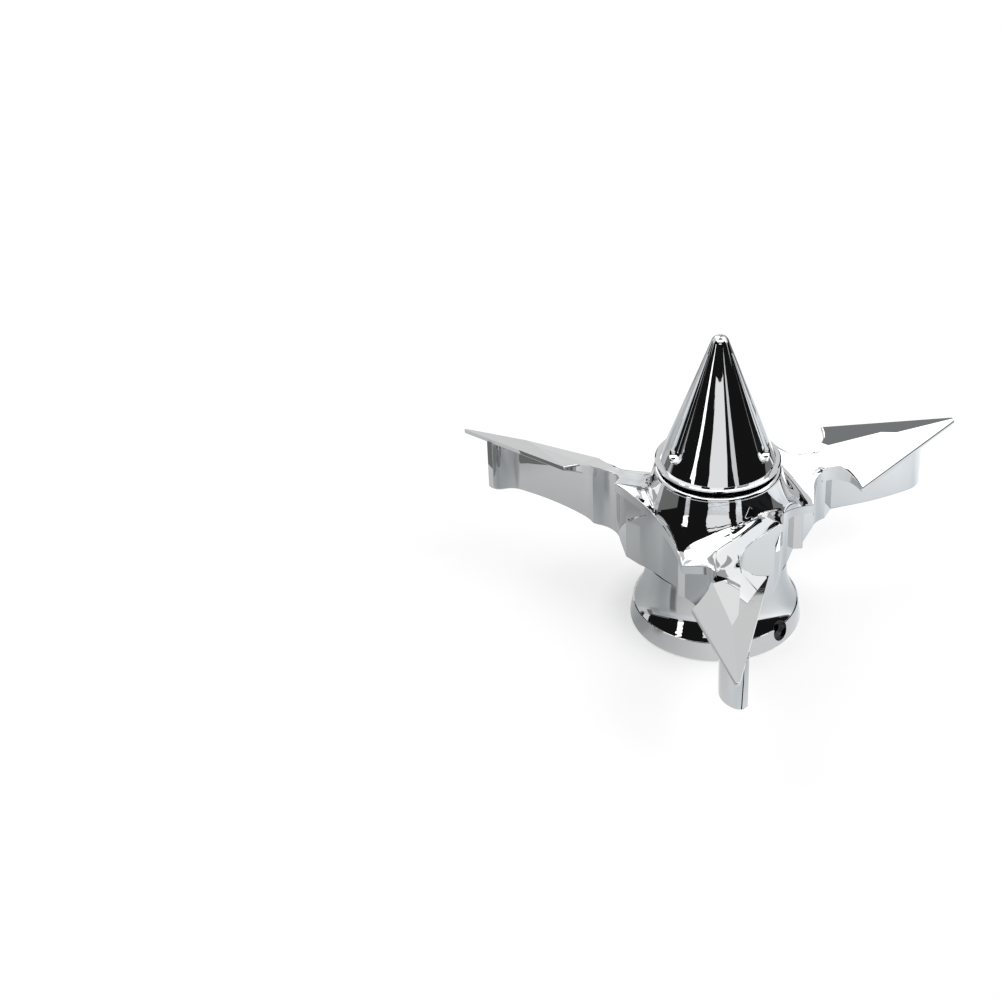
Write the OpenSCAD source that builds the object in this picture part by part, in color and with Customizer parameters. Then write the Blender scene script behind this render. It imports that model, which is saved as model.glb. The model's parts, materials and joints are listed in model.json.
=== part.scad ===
/* [Base cup] */
// Radius of the cup's foot
base_r = 22; // [20:0.5:26]
// Radius of the cup's waist
waist_r = 18.1; // [17.9:0.1:19]
// Height of the cup
base_h = 18.5; // [17:0.5:21]
// Height of the tapered band round the foot
band_h = 5.2; // [4:0.2:6.4]
// How far the band draws in at its top
band_taper = 0.7; // [0.4:0.1:1.2]
// Height of the waist above the foot
waist_h = 15.5; // [14:0.5:16.5]
// Step in radius where the band ends
band_step = 0.3; // [0.2:0.1:0.6]
// Radius of the socket that goes over the axle nut
socket_r = 16.5; // [15.5:0.1:16.6]
// Depth of the socket
socket_depth = 10; // [9:0.5:11]
// Radius of the recess for the spindle's head in the socket's roof
recess_r = 8; // [8:0.5:9]
// Depth of that recess
recess_depth = 4.5; // [4.4:0.1:5]
// Round of the foot's outer edge
foot_round = 0.6; // [0.3:0.1:1.2]
// Height of the boss under the lower bearing
boss_h = 4; // [3:0.5:6]
// Radius of the grub screws
grub_r = 2.5; // [2:0.25:3]
// Length of a grub screw
grub_len = 3.2; // [2.6:0.1:4.2]
// Height of the grub screws above the foot
grub_z = 3.9; // [3.2:0.1:5]
// Direction of the first grub screw
grub_angle = 317; // [290:1:340]
// Width across the flats of the grub screw's socket
grub_key = 2.5; // [1.5:0.5:2.5]
// Depth of the grub screw's socket
grub_key_depth = 1.6; // [1:0.1:1.8]

/* [Spindle] */
// Radius of the spindle bolt's shank
spindle_r = 4; // [3:0.5:4.5]
// Length of the shank under its head
spindle_len = 43; // [38:1:46]
// Radius of the bolt's button head
head_r = 7; // [6:0.5:8]
// Height of the button head
head_h = 4.1; // [3.5:0.1:4.2]
// Width across the flats of the head's socket
head_key = 5; // [3:1:5]
// Depth of the head's socket
head_key_depth = 2.6; // [2:0.2:3]

/* [Bearings] */
// Outside radius of a ball bearing
bearing_r = 11; // [10.5:0.5:12]
// Width of a ball bearing
bearing_w = 7; // [6:0.5:8]
// Radius of the circle through the balls
pitch_r = 7.5; // [7.3:0.1:7.8]
// Radius of a ball
ball_r = 1.98; // [1.6:0.02:2.1]
// Number of balls in a bearing
ball_count = 7; // [5:1:7]
// Height of a ring's shoulder beside its groove
shoulder_h = 0.55; // [0.4:0.05:0.7]
// Thickness of a shield
shield_t = 0.5; // [0.3:0.1:0.6]
// Width of the step that holds a shield
shield_step = 0.6; // [0.4:0.1:0.8]
// Width of the cage's ring
cage_w = 1.3; // [1:0.1:1.6]
// Distance between the two bearings
bearing_space = 6; // [4:0.5:8]
// Wall of the sleeve between the inner rings
sleeve_wall = 1.4; // [1:0.1:1.8]
// Thickness of the retaining ring
clip_t = 1; // [0.8:0.1:1.2]
// Width of the retaining ring
clip_w = 2; // [1.5:0.1:2.5]
// How deep the retaining ring sits in its groove
clip_bite = 0.6; // [0.4:0.1:0.9]

/* [Rotor hub] */
// Outside radius of the hub
hub_r = 16; // [15:0.5:17]
// Height of the deck's middle above the skirt's edge
deck_h = 16; // [15:0.5:18]
// How far the hub stands above the upper bearing
hub_lip = 2.6; // [2.4:0.1:4]
// Round of the hub's top edge
hub_round = 1.1; // [0.6:0.1:1.4]
// Wall of the bearing tube under the deck
tube_wall = 2.4; // [2:0.1:3]
// Radius of the cove where the hub meets the deck
cove_r = 9; // [7:0.5:11]
// Height of the cove's upper end below the hub's top
cove_drop = 2.6; // [2:0.1:4]
// Sweep of the cove before it runs on straight
cove_sweep = 38; // [32:1:44]
// Thickness of the deck, measured upright
deck_t = 2.4; // [2:0.1:3]
// Distance from the axis to a high corner of the deck, before the valley cuts it
high_corner_r = 25.9; // [25:0.1:27]
// Direction of a high corner past its blade
high_corner_angle = 34.5; // [32:0.5:37]
// Climb of the deck towards a high corner, per millimetre
high_climb = 0.244; // [0.1:0.002:0.28]
// Distance from the axis to a low corner of the deck, before the valley cuts it
low_corner_r = 24.9; // [24:0.1:26]
// Direction of a low corner before its blade
low_corner_angle = 24; // [22:0.5:27]
// Fall of the deck towards a low corner, per millimetre
low_fall = 0.18; // [0.08:0.002:0.2]
// Least distance from the axis to a valley's edge
valley_r = 18.5; // [18.2:0.1:19.5]
// Radius of the valley's curve
valley_curve = 28.6; // [24:0.2:34]
// Direction of a valley's middle past its blade
valley_angle = 66; // [64:1:68]
// Thickness of the skirt wall and of the vanes
wall_t = 1.8; // [1.4:0.1:2.4]
// How far the skirt wall is set in at the corners
skirt_inset = 2.8; // [1.5:0.1:4]
// Ledge between the deck's edge and the skirt wall elsewhere
skirt_ledge = 0.15; // [0.1:0.05:0.5]

/* [Blades] */
// Distance from the axis to a blade's tip
tip_r = 75; // [68:1:84]
// Half the width of the blunt tip
tip_half = 0.5; // [0.3:0.1:1]
// Distance from the axis to the notch on the high side
notch_x_high = 31; // [29:0.5:33]
// Radius of the notch on the high side
notch_r_high = 8.1; // [7:0.1:9]
// Half the neck's width towards the high side
neck_high = 3.5; // [3:0.1:4.5]
// Distance from the axis to the notch on the low side
notch_x_low = 32; // [30:0.5:33]
// Radius of the notch on the low side
notch_r_low = 7.25; // [6.5:0.1:8]
// Half the neck's width towards the low side
neck_low = 2.4; // [2:0.1:3.5]
// Half the blade's width at the high barb
barb_high = 9.8; // [8.5:0.1:11]
// Half the blade's width at the low barb
barb_low = 8.4; // [7.5:0.1:9.5]
// Pitch of the blade across its width
blade_pitch = 27.2; // [15:0.5:32]
// Drop of the blade's plane below the deck at its barbs
blade_drop = 1.6; // [0:0.1:3]
// Drop of the tip below the deck
tip_drop = 0.5; // [0:0.1:3]
// Thickness of the blade's edge, measured upright
edge_t = 1.3; // [1:0.1:2]
// Distance from the axis to where the flat of the ridge ends
ridge_x = 56; // [48:1:62]
// Rise of the ridge above the deck at that place
ridge_rise = 1.3; // [0.6:0.1:2.4]
// Rise of the ridge's flat above the deck at the neck
flat_rise = 0.6; // [0:0.1:1]
// Slope of the ridge's flat across its width
flat_slope = 0.32; // [0.24:0.01:0.38]
// Distance from the axis to where the flat of the ridge starts
flat_start = 36.7; // [35:0.1:39]
// Half the flat's width towards the high side, at the barbs
flat_high = 3.2; // [2.4:0.1:4]

/* [Vanes] */
// Distance from the axis to where the skirt's two walls join into a vane
fork_x = 36.5; // [35:0.5:39]
// Radius of a vane's long bend
vane_bend = 75; // [60:1:110]
// Distance from the axis to where the vane turns
vane_turn_x = 59; // [55:0.5:62]
// How far the vane's outer end stands to the low side
vane_low = 2.2; // [1:0.1:3]
// Radius of the curl at the vane's outer end
vane_curl = 6.4; // [5:0.1:7.5]
// Sweep of the curl
vane_sweep = 82; // [60:1:88]
// Round of the vane's lower outer corner
vane_round = 3.5; // [1.5:0.5:5]

/* [Nose cone] */
// Height of the nose cone
cone_h = 35.4; // [30:0.2:42]
// Radius of the cone's rim
cone_rim_r = 15.7; // [15:0.1:16]
// Height of the rim's lip
cone_lip = 1; // [0.8:0.1:2]
// Step from the lip to the cone's side
cone_step = 1.3; // [0.6:0.1:1.8]
// Radius of the cone's rounded tip
cone_tip_r = 2.3; // [1.8:0.1:3]
// Wall of the cone
cone_wall = 2.6; // [2:0.1:3.2]
// Depth of the hollow in the cone's underside
cone_hollow = 10; // [6:0.5:12]
// Thread depth left above the spindle's end
thread_spare = 2; // [1:0.5:4]
// Radius of a flute's lower end
flute_r = 2.8; // [2:0.1:3.4]
// Radius of a flute's upper end
flute_top_r = 0.6; // [0.4:0.1:1]
// Height of a flute's lower end above the rim
flute_low = 3.4; // [3:0.2:8]
// Distance from a flute's upper end to the tip
flute_top = 4.6; // [4:0.2:8]
// How far a flute's middle line lies outside the cone's side
flute_stand = 0.7; // [0.3:0.1:1.2]

/* [Fits] */
// Clearance between pieces that are fitted tight
tight = 0.02; // [0.01:0.01:0.05]
// Clearance between a ball and its groove
ball_play = 0.05; // [0.03:0.01:0.08]
// Clearance between a ball and its cage pocket
pocket_play = 0.12; // [0.1:0.01:0.2]
// Running gap between the cup and the rotor's skirt
skirt_gap = 0.5; // [0.3:0.1:1]
// Running gap between the rotor and the nose cone
cone_gap = 1.3; // [0.8:0.1:2.5]

/* [Hidden] */
$fn = 96;
small_fn = 48;
ball_fn = 20;
blade_count = 3;
first_blade = 270;
blade_step = 360 / blade_count;
grub_count = 2;
eps = 0.01;
far = 300;

head_seat = socket_depth + recess_depth;
low_bearing_z = base_h + boss_h;
up_bearing_z = low_bearing_z + bearing_w + bearing_space;
clip_z = up_bearing_z + bearing_w + tight;
hub_top = up_bearing_z + bearing_w + hub_lip;
skirt_z = base_h + skirt_gap;
deck_z = skirt_z + deck_h;
cone_z = hub_top + cone_gap;
cone_top = cone_z + cone_h;

inner_groove_r = pitch_r - ball_r - ball_play;
outer_groove_r = pitch_r + ball_r + ball_play;
inner_shoulder_r = inner_groove_r + shoulder_h;
outer_shoulder_r = outer_groove_r - shoulder_h;
groove_r = ball_r + ball_play;
boss_r = inner_shoulder_r - tight;
tube_r = bearing_r + tube_wall;
land_r = outer_shoulder_r;

notch_high = [notch_x_high, neck_high + notch_r_high];
notch_low = [notch_x_low, -neck_low - notch_r_low];
barb_high_x = notch_x_high + sqrt(pow(notch_r_high, 2) - pow(barb_high - notch_high.y, 2));
barb_low_x = notch_x_low + sqrt(pow(notch_r_low, 2) - pow(-barb_low - notch_low.y, 2));
barb_z = deck_z - blade_drop;
high_barb = [barb_high_x, barb_high, barb_z + barb_high * tan(blade_pitch)];
low_barb = [barb_low_x, -barb_low, barb_z - barb_low * tan(blade_pitch)];
tip = [tip_r, 0, deck_z - tip_drop];
ridge = [ridge_x, 0, deck_z + ridge_rise];
flat_mid = [notch_x_high, 0, deck_z + flat_rise];
flat_side = [notch_x_high, 1, deck_z + flat_rise + flat_slope];

// Plane z = a x + b y + c through three points, kept as [a, b, c]
function plane(p, q, r) =
    let (n = cross(q - p, r - p))
    [-n.x / n.z, -n.y / n.z, (n * p) / n.z];

// Point where a line from p touches the circle with centre c and radius r
function touch(p, c, r, side) =
    let (d = c - p, l = norm(d), a = atan2(d.y, d.x) + side * asin(r / l))
    p + sqrt(l * l - r * r) * [cos(a), sin(a)];

function on_circle(r, a) = [r * cos(a), r * sin(a)];

// Deck planes through the axis: one climbs across each blade, one falls through each valley
function deck_point(r, a, slope) = [r * cos(a), r * sin(a), deck_z + r * slope];
deck_mid = [0, 0, deck_z];
crease_off = 1;
fold_low = crease_off - low_corner_angle;
fold_high = high_corner_angle - crease_off;
blade_plane = plane(deck_mid, deck_point(1, fold_low, -low_fall), deck_point(1, fold_high, high_climb));
valley_plane = plane(deck_mid, deck_point(1, fold_high, high_climb),
    deck_point(1, blade_step + fold_low, -low_fall));

// Everything below the plane z = a x + b y + c
module below(p) {
    translate([0, 0, p[2]])
        rotate([0, 0, atan2(p[1], p[0])])
            rotate([0, -atan(norm([p[0], p[1]])), 0])
                translate([-far, -far, -2 * far]) cube([2 * far, 2 * far, 2 * far]);
}

module tube(outer, inner, height) {
    difference() {
        cylinder(r = outer, h = height);
        translate([0, 0, -eps]) cylinder(r = inner, h = height + 2 * eps);
    }
}

module hex_socket(flats, depth) {
    cylinder(r = flats / sqrt(3), h = depth, $fn = 6);
}

// Outline of the cup's side: foot, tapered band and hollow waist
waist_curve = (pow(waist_h - band_h, 2) + pow(base_r - band_taper - band_step - waist_r, 2))
    / (2 * (base_r - band_taper - band_step - waist_r));
function waist_at(z) = waist_r + waist_curve - sqrt(pow(waist_curve, 2) - pow(z - waist_h, 2));

module cup_outline() {
    steps = 24;
    polygon(concat(
        [[0, 0], [base_r - foot_round, 0]],
        [for (a = [-60 : 30 : 0]) [base_r - foot_round + foot_round * cos(a), foot_round + foot_round * sin(a)]],
        [[base_r - band_taper, band_h]],
        [for (k = [0 : steps]) let (z = band_h + (base_h - band_h) * k / steps) [waist_at(z), z]],
        [[boss_r, base_h], [boss_r, base_h + boss_h], [0, base_h + boss_h]]));
}

module base_cup() {
    color("silver") difference() {
        rotate_extrude() cup_outline();
        translate([0, 0, -eps]) cylinder(r = socket_r, h = socket_depth + eps);
        cylinder(r = recess_r, h = head_seat);
        cylinder(r = spindle_r + tight, h = base_h + boss_h + eps);
        for (k = [0 : grub_count - 1])
            rotate([0, 0, grub_angle + k * 360 / grub_count])
                translate([socket_r - 1, 0, grub_z]) rotate([0, 90, 0])
                    cylinder(r = grub_r + tight, h = base_r, $fn = small_fn);
    }
}

// Grub screws stay just clear of the socket's wall
grub_start = socket_r + 0.1;
module grub_screw(index) {
    color("dimgray") rotate([0, 0, grub_angle + (index - 1) * 360 / grub_count])
        translate([grub_start, 0, grub_z]) rotate([0, 90, 0]) difference() {
            union() {
                cylinder(r1 = grub_r * 0.6, r2 = grub_r, h = grub_r * 0.4, $fn = small_fn);
                translate([0, 0, grub_r * 0.4]) cylinder(r = grub_r, h = grub_len - grub_r * 0.4, $fn = small_fn);
            }
            translate([0, 0, grub_len - grub_key_depth]) hex_socket(grub_key, grub_key_depth + eps);
        }
}

// Button head bolt: its domed head sits in the socket's recess and its shank carries the bearings
head_edge = 1.2;
module spindle_bolt() {
    color("dimgray") translate([0, 0, head_seat]) difference() {
        union() {
            cylinder(r = spindle_r, h = spindle_len);
            rotate_extrude() polygon(concat(
                [[0, 0], [head_r, 0], [head_r, -head_edge]],
                [for (a = [15 : 15 : 75])
                    [head_key + (head_r - head_key) * cos(a), -head_edge - (head_h - head_edge) * sin(a)]],
                [[head_key, -head_h], [0, -head_h]]));
        }
        translate([0, 0, -head_h - eps]) hex_socket(head_key, head_key_depth + eps);
    }
}

module groove() {
    rotate_extrude() translate([pitch_r, 0]) circle(r = groove_r, $fn = small_fn);
}

module inner_ring(z) {
    color("lightgray") translate([0, 0, z]) difference() {
        tube(inner_shoulder_r, spindle_r + tight, bearing_w);
        translate([0, 0, bearing_w / 2]) groove();
    }
}

shield_seat_r = outer_shoulder_r + shield_step;
shield_depth = shield_t + 0.2;
module outer_ring(z) {
    color("lightgray") translate([0, 0, z]) difference() {
        tube(bearing_r, outer_shoulder_r, bearing_w);
        translate([0, 0, bearing_w / 2]) groove();
        for (side = [-eps, bearing_w - shield_depth])
            translate([0, 0, side]) cylinder(r = shield_seat_r, h = shield_depth + eps);
    }
}

shield_gap = 0.3;
module shield(z, top) {
    drop = top ? bearing_w - shield_depth : shield_depth - shield_t;
    color("gainsboro") translate([0, 0, z + drop])
        tube(shield_seat_r - tight, inner_shoulder_r + shield_gap, shield_t);
}

// Crown cage: its pockets are open below and bridged above
cage_low = 1.4;
cage_bridge = 0.35;
module cage(z) {
    color("tan") translate([0, 0, z + bearing_w / 2]) difference() {
        translate([0, 0, -cage_low])
            tube(pitch_r + cage_w / 2, pitch_r - cage_w / 2, cage_low + ball_r + pocket_play + cage_bridge);
        for (k = [1 : ball_count])
            rotate([0, 0, k * 360 / ball_count]) translate([pitch_r, 0, 0])
                sphere(r = ball_r + pocket_play, $fn = small_fn);
    }
}

module ball(z, index) {
    color("whitesmoke") translate([0, 0, z + bearing_w / 2])
        rotate([0, 0, index * 360 / ball_count]) translate([pitch_r, 0, 0]) sphere(r = ball_r, $fn = ball_fn);
}

module bearing_sleeve() {
    color("gray") translate([0, 0, low_bearing_z + bearing_w])
        tube(spindle_r + tight + sleeve_wall, spindle_r + tight, bearing_space);
}

// Open ring that springs into the hub's groove above the upper bearing
clip_gap = 3;
module retaining_ring() {
    color("dimgray") translate([0, 0, clip_z]) difference() {
        tube(bearing_r + clip_bite - tight, bearing_r + clip_bite - clip_w, clip_t);
        translate([0, -clip_gap / 2, -eps]) cube([far, clip_gap, clip_t + 2 * eps]);
    }
}

module each_blade() {
    for (k = [0 : blade_count - 1]) rotate([0, 0, first_blade + k * blade_step]) children();
}

// Plan of the deck or its skirt: corners and necks, cut back by notches and valleys
touch_in = 0.06;
module deck_plan(inset, grow, neck) {
    low_corner = on_circle(low_corner_r - inset, -low_corner_angle);
    high_corner = on_circle(high_corner_r - inset, high_corner_angle);
    lap_before = on_circle(low_corner_r - inset, -low_corner_angle - 2.6 * lap);
    lap_after = on_circle(low_corner_r - inset - 1, blade_step - low_corner_angle + 2 * lap);
    cut = grow - touch_in;
    difference() {
        each_blade() polygon(concat([[0, 0], lap_before, low_corner, touch(low_corner, notch_low, notch_r_low + cut, 1)],
            neck, [touch(high_corner, notch_high, notch_r_high + cut, -1), high_corner, lap_after]));
        each_blade() {
            translate(notch_high) circle(r = notch_r_high + grow);
            translate(notch_low) circle(r = notch_r_low + grow);
            rotate([0, 0, valley_angle]) translate([valley_r + valley_curve, 0])
                circle(r = valley_curve + grow, $fn = 180);
        }
    }
}

// All that lies below the deck's face, open at the hub, from thirds that lap a little
lap = 2;
core_lap = 0.8;
core_r = hub_r - core_lap;
module below_deck(drop) {
    each_blade() intersection() {
        linear_extrude(deck_z + far) difference() {
            polygon([[0, 0], on_circle(far, fold_low - lap), on_circle(far, blade_step / 3),
                on_circle(far, blade_step + fold_low + lap)]);
            circle(r = core_r);
        }
        below(blade_plane - [0, 0, drop]);
        below(valley_plane - [0, 0, drop]);
    }
}

neck_in = 0.5;
neck_lap = 1;
deck_neck = [[notch_x_low, -neck_low - neck_in], [notch_x_low, neck_high + neck_in]];
module deck() {
    difference() {
        intersection() {
            translate([0, 0, skirt_z]) linear_extrude(far) deck_plan(0, 0, deck_neck);
            below_deck(0);
        }
        below_deck(deck_t);
        cylinder(r = core_r, h = deck_z + far);
    }
}

// Skirt wall under the deck: it follows valleys and notches down to one level
vane_mid_y = vane_bend - vane_low;
fork_y = vane_mid_y - sqrt(pow(vane_bend, 2) - pow(vane_turn_x - fork_x, 2));
fork_half = wall_t / 3;
fork_lap = 1;
fork_start = notch_x_high + 3 * fork_lap;
skirt_neck = [[notch_x_low, -neck_low], [fork_x, fork_y - fork_half], [fork_x, fork_y + fork_half],
    [fork_start, neck_high], [notch_x_high, neck_high]];
cavity_neck = [[notch_x_low, -neck_low], [notch_x_low, neck_high]];
corner_wall = 1.3 * wall_t;
cavity_inset = skirt_inset + corner_wall;
cavity_grow = skirt_ledge + wall_t;

// Cove round the hub: an arc that runs on straight down to the low corners
cove_lap = 1;
cove_past = 0.6;
cove_steps = 6;
cove_top_z = hub_top - cove_drop;
cove_end = [hub_r + cove_r - cove_r * cos(cove_sweep), cove_top_z - cove_r * sin(cove_sweep)];
cove_foot_r = low_corner_r - skirt_inset + cove_past;
cove_foot_z = cove_end.y - (cove_foot_r - cove_end.x) / tan(cove_sweep);
module cove() {
    intersection() {
        rotate_extrude() polygon(concat(
            [[hub_r - cove_lap, cove_top_z]],
            [for (k = [0 : cove_steps]) let (a = k * cove_sweep / cove_steps)
                [hub_r + cove_r - cove_r * cos(a), cove_top_z - cove_r * sin(a)]],
            [[cove_foot_r, cove_foot_z], [cove_foot_r - deck_t, cove_foot_z], [hub_r - cove_lap, cove_end.y - deck_t]]));
        linear_extrude(deck_z + far) deck_plan(skirt_inset / 2, skirt_ledge / 2, deck_neck);
    }
}

// Point a little past a barb, seen from the tip, so that the notch cuts the barb sharp
barb_reach = 1.03;
function past(x, y) = [tip_r, 0] + barb_reach * ([x, y] - [tip_r, 0]);

// Plan of a blade: a dagger with two barbs behind its notches
module blade_plan() {
    difference() {
        polygon([[notch_x_high - neck_lap, neck_high + neck_in], [notch_x_low - neck_lap, -neck_low - neck_in],
            past(barb_low_x, -barb_low), [tip_r, -tip_half], [tip_r, tip_half], past(barb_high_x, barb_high)]);
        translate(notch_high) circle(r = notch_r_high);
        translate(notch_low) circle(r = notch_r_low);
    }
}

// How far the shallow face's fold passes above the ridge's end
ridge_soft = 0.1;

// Blade: a flat that narrows to a ridge and sinks to the neck, a steep face, a shallow face in two planes
module blade() {
    low_face = plane(low_barb, tip, ridge);
    high_face = plane(high_barb, tip, ridge);
    flat_face = plane(flat_mid, flat_side, ridge);
    flat_x = (high_barb.x + low_barb.x) / 2;
    flat_corner = [flat_x, flat_high, flat_face * [flat_x, flat_high, 1]];
    inner_face = plane(flat_corner, ridge + [0, 0, ridge_soft], high_barb);
    neck_mid = [notch_x_high - neck_lap, (neck_high - neck_low) / 2];
    neck_face = plane([flat_start, 1, flat_face * [flat_start, 1, 1]], [flat_start, -1, flat_face * [flat_start, -1, 1]],
        [neck_mid.x, neck_mid.y, blade_plane * [neck_mid.x, neck_mid.y, 1] + eps]);
    difference() {
        intersection() {
            linear_extrude(deck_z + far) blade_plan();
            below(low_face);
            below(high_face);
            below(inner_face);
            below(flat_face);
            below(neck_face);
        }
        below(edge_plane - [0, 0, edge_t]);
    }
}

// Vane under each blade: one long bend and a curl at its outer end
curl_mid = [vane_turn_x, vane_curl - vane_low];
curl_end_y = curl_mid.y + vane_curl * sin(vane_sweep - 90) + wall_t / 4;
module vane_plan() {
    intersection() {
        translate([vane_turn_x, vane_mid_y]) difference() {
            circle(r = vane_bend + wall_t / 2, $fn = 360);
            circle(r = vane_bend - wall_t / 2, $fn = 360);
        }
        translate([fork_start - fork_lap, -far]) square([vane_turn_x - fork_start + fork_lap, far + neck_high]);
    }
    translate(curl_mid) difference() {
        circle(r = vane_curl + wall_t / 2);
        circle(r = vane_curl - wall_t / 2);
        translate([-far, -far]) square([far, 2 * far]);
        rotate([0, 0, vane_sweep - 90]) translate([-far, 0]) square([2 * far, far]);
    }
}

// Cuts the round on the vane's lower outer corner
module vane_corner() {
    translate([vane_turn_x + vane_curl / 2, curl_end_y - vane_round, skirt_z - 1]) difference() {
        cube([far, far, vane_round + 1]);
        translate([-1, 0, vane_round + 1]) rotate([0, 90, 0]) cylinder(r = vane_round, h = far + 2);
    }
}

// Skirt walls and vanes in one: they end inside the deck and the blades above them
edge_plane = plane(low_barb, tip, high_barb);
module walls() {
    difference() {
        intersection() {
            translate([0, 0, skirt_z]) linear_extrude(far) union() {
                difference() {
                    deck_plan(skirt_inset, skirt_ledge, skirt_neck);
                    deck_plan(cavity_inset, cavity_grow, cavity_neck);
                }
                each_blade() vane_plan();
            }
            below_deck(deck_t / 2);
        }
        each_blade() {
            vane_corner();
            difference() {
                translate([fork_x + wall_t, -far / 2, skirt_z + deck_h / 2]) cube([far, far, far]);
                below(edge_plane - [0, 0, edge_t / 2]);
            }
        }
    }
}

// Hub: bearing tube with two seats, a land between them and a groove for the retaining ring
hub_sink = 0.5;
rim_h = 1;
hub_foot = deck_z - deck_t - low_fall * hub_r - hub_sink;
module hub() {
    rotate_extrude() difference() {
        polygon(concat(
            [[0, low_bearing_z - tight], [tube_r, low_bearing_z - tight],
             [tube_r, hub_foot - (hub_r - tube_r)], [hub_r, hub_foot]],
            [for (a = [0 : 15 : 90]) [hub_r - hub_round + hub_round * cos(a), hub_top - hub_round + hub_round * sin(a)]],
            [[0, hub_top]]));
        square([land_r, far]);
        square([bearing_r + tight, low_bearing_z + bearing_w]);
        translate([0, up_bearing_z]) square([bearing_r + tight, far]);
        translate([0, clip_z - tight]) square([bearing_r + clip_bite, clip_t + 2 * tight]);
        translate([0, hub_top - rim_h]) square([bearing_r + clip_bite + rim_h, far]);
    }
}

module rotor() {
    color("silver") union() {
        hub();
        deck();
        walls();
        cove();
        each_blade() blade();
    }
}

// Half-angle of the cone's side, from the lip to the rounded tip
cone_side_r = cone_rim_r - cone_step;
cone_low = cone_z + cone_lip;
cone_slope = (cone_side_r - cone_tip_r) / (cone_top - cone_tip_r - cone_low);
function cone_r(z) = cone_side_r - (z - cone_low) * cone_slope;

thread_top = head_seat + spindle_len + thread_spare;
cone_boss_r = spindle_r + cone_wall;
spigot_z = up_bearing_z + bearing_w;
hollow_top = cone_z + cone_hollow;
edge_cut = 0.3;
module cone_body() {
    rotate_extrude() polygon(concat(
        [[0, thread_top], [spindle_r + tight, thread_top], [spindle_r + tight, spigot_z], [boss_r, spigot_z],
         [boss_r, cone_z], [cone_boss_r, cone_z], [cone_boss_r, hollow_top],
         [cone_r(hollow_top) - cone_wall, hollow_top], [cone_side_r - cone_wall, cone_z],
         [cone_rim_r - edge_cut, cone_z], [cone_rim_r, cone_z + edge_cut], [cone_rim_r, cone_low - edge_cut],
         [cone_rim_r - edge_cut, cone_low], [cone_side_r, cone_low]],
        [for (a = [20 : 10 : 80])
            [cone_tip_r * cos(a), cone_top - cone_tip_r + cone_tip_r * sin(a)]],
        [[0, cone_top]]));
}

module flute() {
    low_z = cone_z + flute_low + flute_r;
    high_z = cone_top - flute_top;
    foot = [cone_r(low_z) + flute_stand, 0, low_z];
    head = [cone_r(high_z) + flute_top_r / 2, 0, high_z];
    run = head - foot;
    translate(foot) rotate([0, atan2(run.x, run.z), 0]) rotate_extrude() polygon(concat(
        [[0, -flute_r]],
        [for (a = [-75 : 15 : 0]) flute_r * [cos(a), sin(a)]],
        [[flute_top_r, norm(run)], [0, norm(run) + flute_top_r]]));
}

module nose_cone() {
    color("silver") difference() {
        cone_body();
        for (k = [0 : blade_count - 1]) rotate([0, 0, first_blade + (k + 0.5) * blade_step]) flute();
    }
}

base_cup();
grub_screw(1);  // grub_screw_1
grub_screw(2);  // grub_screw_2
spindle_bolt();
bearing_sleeve();
retaining_ring();
rotor();
nose_cone();
inner_ring(low_bearing_z);  // lower_inner_ring
outer_ring(low_bearing_z);  // lower_outer_ring
cage(low_bearing_z);  // lower_cage
shield(low_bearing_z, false);  // lower_shield_bottom
shield(low_bearing_z, true);  // lower_shield_top
inner_ring(up_bearing_z);  // upper_inner_ring
outer_ring(up_bearing_z);  // upper_outer_ring
cage(up_bearing_z);  // upper_cage
shield(up_bearing_z, false);  // upper_shield_bottom
shield(up_bearing_z, true);  // upper_shield_top
for (k = [1 : ball_count]) {
    ball(low_bearing_z, k);
    ball(up_bearing_z, k);
}
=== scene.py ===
import bmesh
import bpy
import json
import math
import numpy
from mathutils import Matrix, Vector
from mathutils.bvhtree import BVHTree


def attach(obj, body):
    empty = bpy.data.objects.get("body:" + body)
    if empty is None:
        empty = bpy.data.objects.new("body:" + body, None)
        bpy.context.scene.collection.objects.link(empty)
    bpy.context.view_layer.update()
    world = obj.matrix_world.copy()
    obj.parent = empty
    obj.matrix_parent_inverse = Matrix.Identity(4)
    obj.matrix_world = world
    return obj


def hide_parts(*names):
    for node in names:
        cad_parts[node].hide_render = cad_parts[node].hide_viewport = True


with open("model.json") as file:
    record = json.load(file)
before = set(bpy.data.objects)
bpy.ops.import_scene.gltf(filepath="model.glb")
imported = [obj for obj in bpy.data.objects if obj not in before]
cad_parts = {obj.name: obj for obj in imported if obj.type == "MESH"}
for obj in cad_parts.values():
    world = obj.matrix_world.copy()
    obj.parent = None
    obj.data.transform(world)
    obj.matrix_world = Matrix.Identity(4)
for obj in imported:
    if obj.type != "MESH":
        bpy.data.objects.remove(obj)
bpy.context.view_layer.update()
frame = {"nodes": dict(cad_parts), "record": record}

# Lengths are in metres and angles in degrees round from +X, unless a name says otherwise.
# The axis of the cover is Z, its foot lies on the floor and its front blade points to -Y.

# Camera, found from the blade tips, barbs and cone of the photograph
CAMERA_AT = (-0.0334, -0.4619, 0.3350)
CAMERA_RIGHT = (0.99907, 0.02161, -0.03754)
CAMERA_DOWN = (-0.01973, -0.54440, -0.83859)
CAMERA_AHEAD = (-0.03856, 0.83855, -0.54346)
CAMERA_LENS = 78.3
CAMERA_SENSOR = 36


# Node helpers

def new_group(name, inputs, outputs):
    """A node group with its sockets: inputs are (name, type, default), outputs (name, type)."""
    g = bpy.data.node_groups.new(name, "ShaderNodeTree")
    for label, kind, value in inputs:
        s = g.interface.new_socket(label, in_out="INPUT", socket_type=kind)
        s.default_value = value
    for label, kind in outputs:
        g.interface.new_socket(label, in_out="OUTPUT", socket_type=kind)
    return g, g.nodes.new("NodeGroupInput"), g.nodes.new("NodeGroupOutput")


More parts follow.
